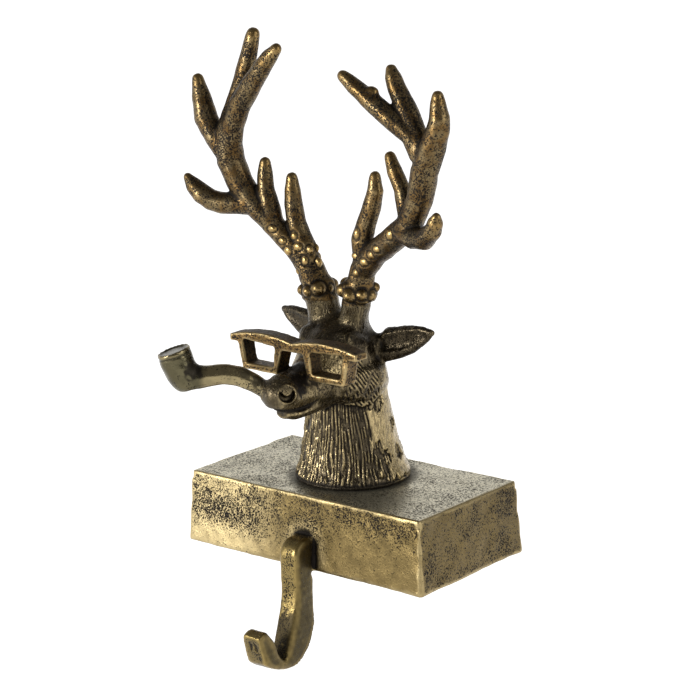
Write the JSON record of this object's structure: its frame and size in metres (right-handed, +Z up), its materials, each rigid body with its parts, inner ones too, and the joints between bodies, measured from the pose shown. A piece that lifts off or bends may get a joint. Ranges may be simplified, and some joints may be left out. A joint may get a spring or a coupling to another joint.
{
  "type": "deer hook",
  "caption": "Mantel-top stocking hook: a tapered cast block with a J hook on its front and an antlered deer bust wearing spectacles and smoking a pipe on top.",
  "frame": {"origin": "middle of the underside, on the plane that lies on the mantel", "axes": "+Z up, -Y to the front where the hook hangs, +X to the deer's left"},
  "size_m": [0.1344, 0.1091, 0.2563],
  "materials": {
    "block_brass": "sand-cast brass, antiqued dark in the pits, satin on the rubbed edges",
    "bust_brass": "cast brass, antiqued dark brown with gold on the raised edges",
    "screw_steel": "zinc plated",
    "felt": "dark pressed felt"
  },
  "bodies": {
    "root": {"base_casting": "block_brass", "deer_bust": "bust_brass", "bust_screw": "screw_steel", "screw_washer": "screw_steel", "felt_pad": "felt"}
  },
  "joints": []
}
